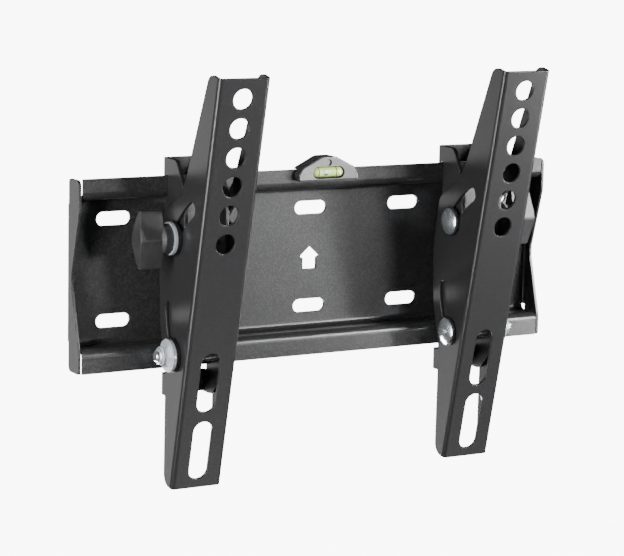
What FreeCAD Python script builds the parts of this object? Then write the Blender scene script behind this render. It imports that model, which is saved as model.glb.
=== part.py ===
"""Tilting wall bracket for a flat television.

A folded wall plate carries two hook brackets, which slide along its rails.
An arm tilts on each hook bracket: two bolts in the bracket run in two arc
slots in the arm's walls, so the arm turns about a virtual pivot that lies in
front of its face, near the balance point of the screen it holds.

Frame: millimetres, origin at the centre of the wall slots on the plate's
back. +X is to the right as seen from the room, +Z is up, and the wall is at
y = 0 with the room towards -Y. Distances from the wall are called depth, so
a point at a depth d has y = -d.
"""
import FreeCAD
import Part
import math
import os

V = FreeCAD.Vector
X_AXIS = V(1, 0, 0)
ORIGIN = V(0, 0, 0)

# how far a cutter runs past a face, and a length too small to matter
PAST = 1.0
TINY = 1e-4

# wall plate
PLATE_SHEET = 1.5
SLOT_COLUMNS = (-2, -1, 0, 1, 2)
SLOT_COLUMN_PITCH = 61.0
SLOT_ROW_SPACING = 56.0
WALL_SLOT_LENGTH = 20.2
WALL_SLOT_WIDTH = 7.6
SLOT_TO_PLATE_END = 16.8
RAIL_DEPTH = 16.7
RAIL_HALF_HEIGHT = 51.9
RAIL_LIP_HEIGHT = 11.7
LOWER_LIP_EXTRA = 1.4
RAIL_FOLD_INNER_RADIUS = 3.0
RAIL_END_GAP = 0.9
ARROW_TIP_HEIGHT = 5.9
ARROW_HALF_WIDTH = 6.6
ARROW_SHAFT_HALF_WIDTH = 4.3
ARROW_FOOT = -7.1
ARROW_CORNER_RADIUS = 0.7

# end flanges of the wall plate
FLANGE_BEHIND_RAIL_FACE = 0.5
FLANGE_SHORT_OF_RAIL_EDGE = 0.7
FLANGE_WAIST_DEPTH = 6.6
FLANGE_WAIST_HEIGHT = -4.1
FLANGE_WAIST_HALF_LENGTH = 3.0
FLANGE_WAIST_RUN = 34.5
FLANGE_FREE_BACK = 3.2
FLANGE_FOLD_INNER_RADIUS = 1.5
FLANGE_TOP_FRONT_RADIUS = 3.2
FLANGE_TOP_BACK_RADIUS = 2.1
FLANGE_FOOT_FRONT_RADIUS = 1.1
FLANGE_FOOT_BACK_RADIUS = 3.2
FLANGE_WAIST_RADIUS = 14.0

# arms: places down from the top screw hole, and wall widths behind the face
ARM_SHEET = 1.5
ARM_WIDTH = 30.4
ARM_ABOVE_TOP_HOLE = 11.1
ARM_BELOW_TOP_HOLE = 222.2
ARM_FOLD_INNER_RADIUS = 1.0
ARM_HOLE_DIAMETER = 11.4
ARM_HOLE_PITCH = 16.0
ARM_HOLE_COUNT = 6
ARM_SLOT_LENGTH = 34.5
ARM_SLOT_CENTRES = (160.0, 200.0)
ARM_TOP_WALL = 11.6
ARM_TOP_RADIUS = 6.5
ARM_FLARE_START = 51.0
ARM_FLARE_WALL = 24.0
ARM_FLARE_RADIUS = 40.0
ARM_KNEE = 62.0
ARM_KNEE_WALL = 28.8
ARM_KNEE_RADIUS = 9.0
ARM_LOBE_TOP = 77.0
ARM_LOBE_WALL = 44.6
ARM_LOBE_RADIUS = 8.0
ARM_LOBE_FOOT = 107.0
ARM_LOBE_FOOT_WALL = 43.2
ARM_LOBE_FOOT_RADIUS = 60.0
ARM_BELLY = 137.0
ARM_BELLY_WALL = 35.2
ARM_BELLY_RADIUS = 40.0
ARM_WAIST = 161.0
ARM_WAIST_WALL = 22.6
ARM_WAIST_RADIUS = 22.0
ARM_BOTTOM_WALL = 9.7
ARM_BOTTOM_RADIUS = 7.0
ARM_LEFT_X = -84.0
ARM_RIGHT_X = 91.4

# tilt mechanism
PIVOT_OFF_RAIL = 64.3
PIVOT_HEIGHT = -16.0
FACE_BEHIND_PIVOT = 28.3
TOP_HOLE_ABOVE_PIVOT = 110.5
TILT_FORWARD = 12.5
TILT_BACK = 11.5
UPPER_BOLT_RADIUS = 62.0
UPPER_BOLT_ANGLE = 35.5
LOWER_BOLT_RADIUS = 57.6
LOWER_BOLT_ANGLE = -28.7
UPPER_ARC_CLEARANCE = 1.15
LOWER_ARC_CLEARANCE = 0.45
NECK_TO_ARC_END = 0.3

# hook brackets
HOOK_SHEET = 2.0
HOOK_TO_ARM_GAP = 0.35
HOOK_FOLD_INNER_RADIUS = 1.2
HOOK_TO_LIP_GAP = 0.5
HOOK_SEAT_GAP = 0.3
HOOK_SEAT_RADIUS = 0.3
HOOK_TONGUE_THICKNESS = 4.7
HOOK_TONGUE_LENGTH = 7.3
HOOK_TAB_BELOW_RAIL = 5.0
HOOK_ABOVE_RAIL = 9.6
HOOK_BELOW_RAIL = 17.1
HOOK_FRONT_OFF_RAIL = 21.3
HOOK_TOP_OFF_RAIL = 10.3
HOOK_FOOT_OFF_RAIL = 7.3
HOOK_SHOULDER_BELOW_RAIL_TOP = 9.0
HOOK_HEEL_BELOW_RAIL = 2.1
HOOK_CORNER_RADIUS = 1.5
HOOK_TOP_RADIUS = 5.0
HOOK_SHOULDER_RADIUS = 10.0
HOOK_HEEL_RADIUS = 12.0
HOOK_FOOT_RADIUS = 8.0

# bolts, washers, sleeves and nuts
BOLT_DIAMETER = 6.0
BOLT_HOLE_CLEARANCE = 0.4
BOLT_END_CHAMFER = 0.6
NECK_UNDER_BOLT = 0.1
HEAD_DIAMETER = 15.0
HEAD_HEIGHT = 3.3
HEAD_RIM = 0.7
STACK_GAP = 0.3
FRICTION_WASHER_DIAMETER = 19.0
KNOB_SIDE_FRICTION_WASHER = 2.2
HEAD_SIDE_FRICTION_WASHER = 1.2
HEAD_WASHER_DIAMETER = 17.0
PLAIN_WASHER_DIAMETER = 18.0
PLAIN_WASHER_THICKNESS = 1.6
SLEEVE_WALL = 1.8
NUT_WALL = 2.0
NUT_HEX_HEIGHT = 3.9
NUT_END_ROUND = 0.2
NUT_END_ANGLE = 15.0
NUT_COLLAR_WALL = 1.4
NUT_COLLAR_HEIGHT = 1.7
NUT_COLLAR_ROUND = 0.9
LOWER_BOLT_PAST_NUT = 1.4

# wing knobs
KNOB_COLLAR_DIAMETER = 16.0
KNOB_COLLAR_LENGTH = 4.2
KNOB_CONE_LENGTH = 1.5
KNOB_WING_HALF_SPAN = 15.8
KNOB_WING_HALF_THICKNESS = 6.0
KNOB_TIP_HALF_THICKNESS = 1.6
KNOB_WING_LENGTH = 12.4
KNOB_CROWN = 1.8
KNOB_CROWN_HALF_SPAN = 4.0
KNOB_TIP_RADIUS = 1.0
KNOB_BELLY_RADIUS = 4.0
KNOB_FOOT_RADIUS = 1.0
KNOB_SHOULDER_RADIUS = 1.2
KNOB_CROWN_RADIUS = 6.0
INSERT_WALL = 1.44
INSERT_CLEARANCE = 0.06
INSERT_LENGTH = 9.0
BOLT_IN_KNOB = 11.0

# spirit level
LEVEL_HALF_WIDTH = 16.8
LEVEL_FOOT_HALF_WIDTH = 19.0
LEVEL_BELOW_RAIL_EDGE = 6.3
LEVEL_KNEE_HEIGHT = 3.4
LEVEL_SHOULDER_HEIGHT = 7.2
LEVEL_HEIGHT = 13.4
LEVEL_BEHIND_LIP = 3.0
LEVEL_TOP_HALF_WIDTH = 4.5
LEVEL_OFF_RAIL = 4.8
LEVEL_FIT = 0.05
LEVEL_CORNER_RADIUS = 1.5
LEVEL_SHOULDER_RADIUS = 3.0
LEVEL_TOP_RADIUS = 7.0
LEVEL_EDGE_RADIUS = 0.8
VIAL_LENGTH = 20.0
VIAL_DIAMETER = 6.6
VIAL_ABOVE_FOOT = 4.4
VIAL_FLAT_OFF_RAIL = 0.7
VIAL_PROUD = 0.3
EYE_DIAMETER = 3.6
EYE_DEPTH = 1.0
EYE_ABOVE_FOOT = 10.0

# worked out from the values above
PANEL_HALF_WIDTH = max(SLOT_COLUMNS) * SLOT_COLUMN_PITCH + WALL_SLOT_LENGTH / 2 + SLOT_TO_PLATE_END
SHELF_HALF_HEIGHT = RAIL_HALF_HEIGHT - RAIL_LIP_HEIGHT
LOWER_LIP_FOOT = -RAIL_HALF_HEIGHT - LOWER_LIP_EXTRA
RAIL_HALF_LENGTH = PANEL_HALF_WIDTH - PLATE_SHEET - RAIL_END_GAP
LIP_BACK_DEPTH = RAIL_DEPTH - PLATE_SHEET
ARM_INNER_HALF = ARM_WIDTH / 2 - ARM_SHEET
HOOK_HALF_WIDTH = ARM_INNER_HALF - HOOK_TO_ARM_GAP
HOOK_INNER_HALF = HOOK_HALF_WIDTH - HOOK_SHEET
PIVOT_DEPTH = RAIL_DEPTH + PIVOT_OFF_RAIL
FACE_DEPTH_UPRIGHT = PIVOT_DEPTH - FACE_BEHIND_PIVOT
TOP_HOLE_UPRIGHT = PIVOT_HEIGHT + TOP_HOLE_ABOVE_PIVOT
BOLT_RADIUS = BOLT_DIAMETER / 2
BOLT_HOLE = BOLT_DIAMETER + BOLT_HOLE_CLEARANCE
NECK_WIDTH = BOLT_DIAMETER - NECK_UNDER_BOLT
KNOB_STACK_END = ARM_WIDTH / 2 + STACK_GAP + KNOB_SIDE_FRICTION_WASHER + PLAIN_WASHER_THICKNESS
INSERT_BORE = BOLT_DIAMETER + 2 * INSERT_CLEARANCE
INSERT_DIAMETER = INSERT_BORE + 2 * INSERT_WALL


def side_point(depth, height, x=0.0):
    """A point of a side view: depth from the wall and height."""
    return V(x, -depth, height)


def front_point(x, height, depth=0.0):
    """A point of a front view."""
    return V(x, -depth, height)


def top_point(x, depth, height=0.0):
    """A point of a top view."""
    return V(x, -depth, height)


def rounded_wire(corners, place):
    """Closed wire through (u, v, radius) corners, each rounded by a tangent arc."""
    count = len(corners)
    starts = []
    ends = []
    mids = []
    for i in range(count):
        u, v, radius = corners[i]
        before = corners[i - 1]
        after = corners[(i + 1) % count]
        to_before = V(before[0] - u, before[1] - v, 0)
        to_after = V(after[0] - u, after[1] - v, 0)
        to_before.normalize()
        to_after.normalize()
        corner = V(u, v, 0)
        half = to_before.getAngle(to_after) / 2
        if radius <= 0:
            starts.append(corner)
            ends.append(corner)
            mids.append(None)
            continue
        reach = radius / math.tan(half)
        inward = to_before + to_after
        inward.normalize()
        starts.append(corner + to_before * reach)
        ends.append(corner + to_after * reach)
        mids.append(corner + inward * (radius / math.sin(half) - radius))
    edges = []
    for i in range(count):
        if mids[i] is not None:
            points = [place(p.x, p.y) for p in (starts[i], mids[i], ends[i])]
            edges.append(Part.Arc(*points).toShape())
        here = place(ends[i].x, ends[i].y)
        there = place(starts[(i + 1) % count].x, starts[(i + 1) % count].y)
        if here.distanceToPoint(there) > TINY / 100:
            edges.append(Part.makeLine(here, there))
    return Part.Wire(Part.__sortEdges__(edges))


def prism(corners, place, direction):
    """Solid made by sweeping a rounded outline along a vector."""
    return Part.Face(rounded_wire(corners, place)).extrude(direction)


def side_prism(corners, half_width):
    """Side-view outline swept from -half_width to +half_width along X."""
    def place(depth, height):
        return side_point(depth, height, -half_width)
    return prism(corners, place, X_AXIS * (2 * half_width))


def x_cylinder(diameter, x_from, x_to, depth, height):
    """Cylinder along X between two x values."""
    base = side_point(depth, height, x_from)
    return Part.makeCylinder(diameter / 2, x_to - x_from, base, X_AXIS)


def x_ring(outer, inner, x_from, x_to, depth, height):
    """Washer or tube along X."""
    ring = x_cylinder(outer, x_from, x_to, depth, height)
    return ring.cut(x_cylinder(inner, x_from, x_to, depth, height))


def level_slot(x, height, length, width, depth_from, depth_to):
    """Horizontal round-ended slot cutter that runs from one depth to another."""
    r = width / 2
    half = length / 2
    corners = [(x - half, height - r, r), (x + half, height - r, r),
               (x + half, height + r, r), (x - half, height + r, r)]
    corners = [(u, v, c - TINY) for u, v, c in corners]

    def place(u, v):
        return front_point(u, v, depth_from)
    return prism(corners, place, V(0, -(depth_to - depth_from), 0))


def arrow_cutter():
    """Upward arrow that shows which way up the plate goes."""
    r = ARROW_CORNER_RADIUS
    corners = [(0, ARROW_TIP_HEIGHT, r), (ARROW_HALF_WIDTH, 0, r),
               (ARROW_SHAFT_HALF_WIDTH, -r, 0), (ARROW_SHAFT_HALF_WIDTH, ARROW_FOOT, r),
               (-ARROW_SHAFT_HALF_WIDTH, ARROW_FOOT, r), (-ARROW_SHAFT_HALF_WIDTH, -r, 0),
               (-ARROW_HALF_WIDTH, 0, r)]

    def place(u, v):
        return front_point(u, v, -PLATE_SHEET)
    return prism(corners, place, V(0, -3 * PLATE_SHEET, 0))


def rail_section():
    """Panel with its two joggled rails: out from the wall, then away from the panel."""
    t = PLATE_SHEET
    inner = RAIL_FOLD_INNER_RADIUS
    outer = inner + t
    shelf = SHELF_HALF_HEIGHT
    top = RAIL_HALF_HEIGHT
    foot = LOWER_LIP_FOOT
    corners = [(RAIL_DEPTH, foot, 0), (RAIL_DEPTH, -shelf, outer), (t, -shelf, inner),
               (t, shelf, inner), (RAIL_DEPTH, shelf, outer), (RAIL_DEPTH, top, 0),
               (LIP_BACK_DEPTH, top, 0), (LIP_BACK_DEPTH, shelf + t, inner),
               (0, shelf + t, outer), (0, -shelf - t, outer),
               (LIP_BACK_DEPTH, -shelf - t, inner), (LIP_BACK_DEPTH, foot, 0)]
    return side_prism(corners, RAIL_HALF_LENGTH)


def end_tray():
    """Flat panel with the two waisted end flanges folded forward."""
    half = PANEL_HALF_WIDTH
    t = PLATE_SHEET
    inner = FLANGE_FOLD_INNER_RADIUS
    outer = inner + t
    front = RAIL_DEPTH - FLANGE_BEHIND_RAIL_FACE
    top = RAIL_HALF_HEIGHT - FLANGE_SHORT_OF_RAIL_EDGE
    foot = LOWER_LIP_FOOT
    section = [(-half, front, 0), (-half, 0, outer), (half, 0, outer), (half, front, 0),
               (half - t, front, 0), (half - t, t, inner), (-half + t, t, inner),
               (-half + t, front, 0)]

    def place(x, depth):
        return top_point(x, depth, foot)
    tray = prism(section, place, V(0, 0, top - foot))
    fold_end = SHELF_HALF_HEIGHT - RAIL_FOLD_INNER_RADIUS
    waist_low = FLANGE_WAIST_HEIGHT - FLANGE_WAIST_HALF_LENGTH
    waist_high = FLANGE_WAIST_HEIGHT + FLANGE_WAIST_HALF_LENGTH
    run = FLANGE_WAIST_RUN
    sweep = FLANGE_WAIST_RADIUS
    outline = [(0, -fold_end, 0), (FLANGE_FREE_BACK, -fold_end, 0),
               (FLANGE_FREE_BACK, foot, FLANGE_FOOT_BACK_RADIUS),
               (front, foot, FLANGE_FOOT_FRONT_RADIUS), (front, waist_low - run, sweep),
               (FLANGE_WAIST_DEPTH, waist_low, sweep), (FLANGE_WAIST_DEPTH, waist_high, sweep),
               (front, waist_high + run, sweep), (front, top, FLANGE_TOP_FRONT_RADIUS),
               (FLANGE_FREE_BACK, top, FLANGE_TOP_BACK_RADIUS),
               (FLANGE_FREE_BACK, fold_end, 0), (0, fold_end, 0)]
    return tray.common(side_prism(outline, half + PAST))


def wall_plate():
    """Wall plate: one folded sheet with slots for the wall screws."""
    plate = rail_section().fuse(end_tray())
    cutters = [arrow_cutter()]
    for column in SLOT_COLUMNS:
        for row in (-1, 1):
            cutters.append(level_slot(column * SLOT_COLUMN_PITCH, row * SLOT_ROW_SPACING / 2,
                                      WALL_SLOT_LENGTH, WALL_SLOT_WIDTH,
                                      -PLATE_SHEET, 2 * PLATE_SHEET))
    return plate.cut(cutters).removeSplitter()


def upright_arm_point(down, behind):
    """Depth and height of a point on the upright arm, from its top hole and its face."""
    return FACE_DEPTH_UPRIGHT - behind, TOP_HOLE_UPRIGHT - down


def arc_slot(radius, angle, clearance, half_width):
    """Arc slot about the pivot, for the upright arm, cut through both walls.

    The neck of a bolt is square, so the slot runs on past the bolt's last
    place until the corners of the neck clear its round end.
    """
    half_neck = NECK_WIDTH / 2
    width = NECK_WIDTH + 2 * clearance
    room = (width / 2 - NECK_TO_ARC_END) ** 2 - half_neck ** 2
    past = math.degrees((half_neck - math.sqrt(max(room, 0))) / radius)
    low = math.radians(angle - TILT_FORWARD - past)
    high = math.radians(angle + TILT_BACK + past)
    middle = (low + high) / 2

    def polar(r, turn):
        depth = PIVOT_DEPTH - r * math.cos(turn)
        height = PIVOT_HEIGHT + r * math.sin(turn)
        return side_point(depth, height, -half_width)

    def end_cap(turn, outwards):
        tip = turn + outwards * width / 2 / radius
        return Part.Arc(polar(radius - width / 2, turn), polar(radius, tip),
                        polar(radius + width / 2, turn)).toShape()
    edges = [end_cap(low, -1), end_cap(high, 1)]
    for r in (radius - width / 2, radius + width / 2):
        edges.append(Part.Arc(polar(r, low), polar(r, middle), polar(r, high)).toShape())
    wire = Part.Wire(Part.__sortEdges__(edges))
    return Part.Face(wire).extrude(X_AXIS * (2 * half_width))


def arm_side_outline():
    """Side view of the upright arm: a slim channel with a lobe behind the pivot."""
    corners = [(-ARM_ABOVE_TOP_HOLE, 0, 0),
               (-ARM_ABOVE_TOP_HOLE, ARM_TOP_WALL, ARM_TOP_RADIUS),
               (ARM_FLARE_START, ARM_FLARE_WALL, ARM_FLARE_RADIUS),
               (ARM_KNEE, ARM_KNEE_WALL, ARM_KNEE_RADIUS),
               (ARM_LOBE_TOP, ARM_LOBE_WALL, ARM_LOBE_RADIUS),
               (ARM_LOBE_FOOT, ARM_LOBE_FOOT_WALL, ARM_LOBE_FOOT_RADIUS),
               (ARM_BELLY, ARM_BELLY_WALL, ARM_BELLY_RADIUS),
               (ARM_WAIST, ARM_WAIST_WALL, ARM_WAIST_RADIUS),
               (ARM_BELOW_TOP_HOLE, ARM_BOTTOM_WALL, ARM_BOTTOM_RADIUS),
               (ARM_BELOW_TOP_HOLE, 0, 0)]
    outline = []
    for down, behind, radius in corners:
        depth, height = upright_arm_point(down, behind)
        outline.append((depth, height, radius))
    return outline


def face_cutter(x_half, down_from, down_to):
    """Round-ended cutter through the upright arm's face, between two places down it."""
    depth = FACE_DEPTH_UPRIGHT - ARM_SHEET - PAST
    top = TOP_HOLE_UPRIGHT - down_from
    bottom = TOP_HOLE_UPRIGHT - down_to
    corners = [(-x_half, bottom, x_half - TINY), (x_half, bottom, x_half - TINY),
               (x_half, top, x_half - TINY), (-x_half, top, x_half - TINY)]

    def place(x, height):
        return front_point(x, height, depth)
    return prism(corners, place, V(0, -(ARM_SHEET + 2 * PAST), 0))


def arm():
    """Arm: a folded channel with screw holes in its face and arc slots in its walls."""
    half = ARM_WIDTH / 2
    t = ARM_SHEET
    inner = ARM_FOLD_INNER_RADIUS
    outer = inner + t
    face = FACE_DEPTH_UPRIGHT
    back = face - ARM_LOBE_WALL
    section = [(-half, back, 0), (-half, face, outer), (half, face, outer), (half, back, 0),
               (half - t, back, 0), (half - t, face - t, inner),
               (-half + t, face - t, inner), (-half + t, back, 0)]
    bottom = TOP_HOLE_UPRIGHT - ARM_BELOW_TOP_HOLE

    def place(x, depth):
        return top_point(x, depth, bottom)
    body = prism(section, place, V(0, 0, ARM_ABOVE_TOP_HOLE + ARM_BELOW_TOP_HOLE))
    body = body.common(side_prism(arm_side_outline(), half + PAST))
    r = ARM_HOLE_DIAMETER / 2
    cutters = []
    for i in range(ARM_HOLE_COUNT):
        start = front_point(0, TOP_HOLE_UPRIGHT - i * ARM_HOLE_PITCH, face - t - PAST)
        cutters.append(Part.makeCylinder(r, t + 2 * PAST, start, V(0, -1, 0)))
    for down in ARM_SLOT_CENTRES:
        cutters.append(face_cutter(r, down - ARM_SLOT_LENGTH / 2, down + ARM_SLOT_LENGTH / 2))
    cutters.append(arc_slot(UPPER_BOLT_RADIUS, UPPER_BOLT_ANGLE, UPPER_ARC_CLEARANCE, half + PAST))
    cutters.append(arc_slot(LOWER_BOLT_RADIUS, LOWER_BOLT_ANGLE, LOWER_ARC_CLEARANCE, half + PAST))
    body = body.cut(cutters).removeSplitter()
    body.rotate(side_point(PIVOT_DEPTH, PIVOT_HEIGHT), X_AXIS, TILT_FORWARD)
    return body


def bolt_place(radius, angle):
    """Depth and height of a bolt's axis, from the pivot."""
    turn = math.radians(angle)
    return PIVOT_DEPTH - radius * math.cos(turn), PIVOT_HEIGHT + radius * math.sin(turn)


UPPER_BOLT = bolt_place(UPPER_BOLT_RADIUS, UPPER_BOLT_ANGLE)
LOWER_BOLT = bolt_place(LOWER_BOLT_RADIUS, LOWER_BOLT_ANGLE)


def hook_bracket():
    """Hook bracket: a folded channel that hangs on the top rail and leans on the bottom one."""
    half = HOOK_HALF_WIDTH
    t = HOOK_SHEET
    inner = HOOK_FOLD_INNER_RADIUS
    outer = inner + t
    rest = RAIL_DEPTH + HOOK_TO_LIP_GAP
    behind_lip = LIP_BACK_DEPTH - HOOK_TO_LIP_GAP
    back = behind_lip - HOOK_TONGUE_THICKNESS
    front = RAIL_DEPTH + HOOK_FRONT_OFF_RAIL
    section = [(-half, front, 0), (-half, back, outer), (half, back, outer), (half, front, 0),
               (half - t, front, 0), (half - t, back + t, inner),
               (-half + t, back + t, inner), (-half + t, front, 0)]
    top = RAIL_HALF_HEIGHT + HOOK_ABOVE_RAIL
    foot = -RAIL_HALF_HEIGHT - HOOK_BELOW_RAIL

    def place(x, depth):
        return top_point(x, depth, foot)
    body = prism(section, place, V(0, 0, top - foot))
    seat = RAIL_HALF_HEIGHT + HOOK_SEAT_GAP
    tongue = seat - HOOK_TONGUE_LENGTH
    tab = -RAIL_HALF_HEIGHT - HOOK_TAB_BELOW_RAIL
    corner = HOOK_CORNER_RADIUS
    outline = [(back, top, corner), (RAIL_DEPTH + HOOK_TOP_OFF_RAIL, top, HOOK_TOP_RADIUS),
               (front, RAIL_HALF_HEIGHT - HOOK_SHOULDER_BELOW_RAIL_TOP, HOOK_SHOULDER_RADIUS),
               (front, -RAIL_HALF_HEIGHT - HOOK_HEEL_BELOW_RAIL, HOOK_HEEL_RADIUS),
               (RAIL_DEPTH + HOOK_FOOT_OFF_RAIL, foot, HOOK_FOOT_RADIUS), (back, foot, corner),
               (back, tab, corner), (rest, tab, HOOK_SEAT_RADIUS), (rest, seat, HOOK_SEAT_RADIUS),
               (behind_lip, seat, HOOK_SEAT_RADIUS), (behind_lip, tongue, corner),
               (back, tongue, corner)]
    body = body.common(side_prism(outline, half + PAST))
    cutters = [x_cylinder(BOLT_HOLE, -half - PAST, half + PAST, *UPPER_BOLT),
               x_cylinder(BOLT_HOLE, -half - PAST, half + PAST, *LOWER_BOLT)]
    return body.cut(cutters).removeSplitter()


def edges_at_x(shape, x):
    """Edges of a shape that lie in the plane at one x."""
    return [edge for edge in shape.Edges
            if abs(edge.BoundBox.XMin - x) < TINY and abs(edge.BoundBox.XMax - x) < TINY]


def dome_head(x_base):
    """Domed bolt head that points to -X, with its flat side at x_base."""
    radius = HEAD_DIAMETER / 2
    crown = HEAD_HEIGHT - HEAD_RIM
    sphere = (radius ** 2 + crown ** 2) / (2 * crown)
    turn = math.asin(radius / sphere) / 2
    centre = x_base - HEAD_HEIGHT + sphere
    rim = V(x_base - HEAD_RIM, 0, radius)
    middle = V(centre - sphere * math.cos(turn), 0, sphere * math.sin(turn))
    tip = V(x_base - HEAD_HEIGHT, 0, 0)
    edges = [Part.makeLine(V(x_base, 0, 0), V(x_base, 0, radius)),
             Part.makeLine(V(x_base, 0, radius), rim), Part.Arc(rim, middle, tip).toShape(),
             Part.makeLine(tip, V(x_base, 0, 0))]
    return Part.Face(Part.Wire(edges)).revolve(ORIGIN, X_AXIS, 360)


def carriage_bolt(place, angle, x_tip):
    """Round-headed bolt with a square neck turned to lie along its arc slot."""
    wall = -ARM_WIDTH / 2
    seat = wall - STACK_GAP - HEAD_SIDE_FRICTION_WASHER
    neck_end = wall + ARM_SHEET
    neck = Part.makeBox(neck_end - seat, NECK_WIDTH, NECK_WIDTH,
                        V(seat, -NECK_WIDTH / 2, -NECK_WIDTH / 2))
    shank = Part.makeCylinder(BOLT_RADIUS, x_tip - seat, V(seat, 0, 0), X_AXIS)
    shank = shank.makeChamfer(BOLT_END_CHAMFER, edges_at_x(shank, x_tip))
    bolt = dome_head(seat).fuse([neck, shank]).removeSplitter()
    bolt.rotate(ORIGIN, X_AXIS, angle)
    bolt.translate(side_point(*place))
    return bolt


def friction_washers():
    """Black washers against the arm's two walls, at both bolts."""
    near = ARM_WIDTH / 2 + STACK_GAP
    far = near + HEAD_SIDE_FRICTION_WASHER
    square = NECK_WIDTH + BOLT_HOLE_CLEARANCE
    solids = []
    for place, angle in ((UPPER_BOLT, UPPER_BOLT_ANGLE), (LOWER_BOLT, LOWER_BOLT_ANGLE)):
        solids.append(x_ring(FRICTION_WASHER_DIAMETER, BOLT_HOLE, near,
                             near + KNOB_SIDE_FRICTION_WASHER, *place))
        disc = x_cylinder(HEAD_WASHER_DIAMETER, -far, -near, *place)
        cutter = Part.makeBox(far, square, square, V(-far, -square / 2, -square / 2))
        cutter.rotate(ORIGIN, X_AXIS, angle)
        cutter.translate(side_point(*place))
        solids.append(disc.cut(cutter))
    return Part.makeCompound(solids)


def plain_washers():
    """Zinc washers under the knob and under the lock nut."""
    start = KNOB_STACK_END - PLAIN_WASHER_THICKNESS
    solids = [x_ring(PLAIN_WASHER_DIAMETER, BOLT_HOLE, start, KNOB_STACK_END, *place)
              for place in (UPPER_BOLT, LOWER_BOLT)]
    return Part.makeCompound(solids)


def spacer_sleeve(place):
    """Tube that keeps the hook bracket's walls apart when a bolt is tightened."""
    return x_ring(BOLT_HOLE + 2 * SLEEVE_WALL, BOLT_HOLE, -HOOK_INNER_HALF, HOOK_INNER_HALF, *place)


def hexagon_prism(across_flats, x_from, x_to):
    """Hexagonal bar along X about the origin."""
    radius = across_flats / math.sqrt(3)
    points = [V(x_from, radius * math.cos(math.radians(60 * i)),
                radius * math.sin(math.radians(60 * i))) for i in range(6)]
    points.append(points[0])
    return Part.Face(Part.makePolygon(points)).extrude(X_AXIS * (x_to - x_from))


def lock_nut():
    """Hexagon lock nut with a round collar for its nylon ring."""
    start = KNOB_STACK_END
    flats = BOLT_DIAMETER + 2 * NUT_WALL
    hexagon = hexagon_prism(flats, start, start + NUT_HEX_HEIGHT)
    end_radius = flats / 2 + NUT_END_ROUND
    start_radius = end_radius + NUT_HEX_HEIGHT * math.tan(math.radians(NUT_END_ANGLE))
    hexagon = hexagon.common(Part.makeCone(start_radius, end_radius, NUT_HEX_HEIGHT,
                                           V(start, 0, 0), X_AXIS))
    height = NUT_HEX_HEIGHT + NUT_COLLAR_HEIGHT
    collar = Part.makeCylinder(BOLT_RADIUS + NUT_COLLAR_WALL, height, V(start, 0, 0), X_AXIS)
    collar = collar.makeFillet(NUT_COLLAR_ROUND, edges_at_x(collar, start + height))
    bore = Part.makeCylinder(BOLT_RADIUS, height, V(start, 0, 0), X_AXIS)
    nut = hexagon.fuse(collar).cut(bore).removeSplitter()
    nut.translate(side_point(*LOWER_BOLT))
    return nut


def wing_knob():
    """Moulded knob: a round collar, and a rhombic wing with a crowned end."""
    start = KNOB_STACK_END + STACK_GAP
    wing_start = start + KNOB_COLLAR_LENGTH
    wing_end = wing_start + KNOB_WING_LENGTH
    crown_end = wing_end + KNOB_CROWN
    span = KNOB_WING_HALF_SPAN
    thick = KNOB_WING_HALF_THICKNESS
    tip = KNOB_TIP_HALF_THICKNESS
    section = [(tip, span, KNOB_TIP_RADIUS), (thick, 0, KNOB_BELLY_RADIUS),
               (tip, -span, KNOB_TIP_RADIUS), (-tip, -span, KNOB_TIP_RADIUS),
               (-thick, 0, KNOB_BELLY_RADIUS), (-tip, span, KNOB_TIP_RADIUS)]

    def place(depth, height):
        return side_point(depth, height, wing_start)
    wing = prism(section, place, X_AXIS * (crown_end - wing_start))
    crown = KNOB_CROWN_HALF_SPAN
    outline = [(wing_start, -span, KNOB_FOOT_RADIUS), (wing_end, -span, KNOB_SHOULDER_RADIUS),
               (crown_end, -crown, KNOB_CROWN_RADIUS), (crown_end, crown, KNOB_CROWN_RADIUS),
               (wing_end, span, KNOB_SHOULDER_RADIUS), (wing_start, span, KNOB_FOOT_RADIUS)]

    def place_front(x, height):
        return front_point(x, height, -thick)
    wing = wing.common(prism(outline, place_front, V(0, -2 * thick, 0)))
    radius = KNOB_COLLAR_DIAMETER / 2
    collar = Part.makeCylinder(radius, KNOB_COLLAR_LENGTH, V(start, 0, 0), X_AXIS)
    cone = Part.makeCone(radius, thick, KNOB_CONE_LENGTH, V(wing_start, 0, 0), X_AXIS)
    seat = Part.makeCylinder(INSERT_DIAMETER / 2, INSERT_LENGTH, V(start, 0, 0), X_AXIS)
    well = Part.makeCylinder(BOLT_RADIUS + STACK_GAP, BOLT_IN_KNOB + STACK_GAP,
                             V(start, 0, 0), X_AXIS)
    knob = wing.fuse([collar, cone]).cut([seat, well]).removeSplitter()
    knob.translate(side_point(*UPPER_BOLT))
    return knob


def knob_insert():
    """Threaded metal insert moulded into the knob."""
    start = KNOB_STACK_END + STACK_GAP
    return x_ring(INSERT_DIAMETER, INSERT_BORE, start, start + INSERT_LENGTH, *UPPER_BOLT)


LEVEL_FOOT = RAIL_HALF_HEIGHT - LEVEL_BELOW_RAIL_EDGE
LEVEL_FRONT = RAIL_DEPTH + LEVEL_OFF_RAIL
VIAL_HEIGHT = LEVEL_FOOT + VIAL_ABOVE_FOOT
VIAL_FLAT_DEPTH = RAIL_DEPTH + VIAL_FLAT_OFF_RAIL


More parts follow.
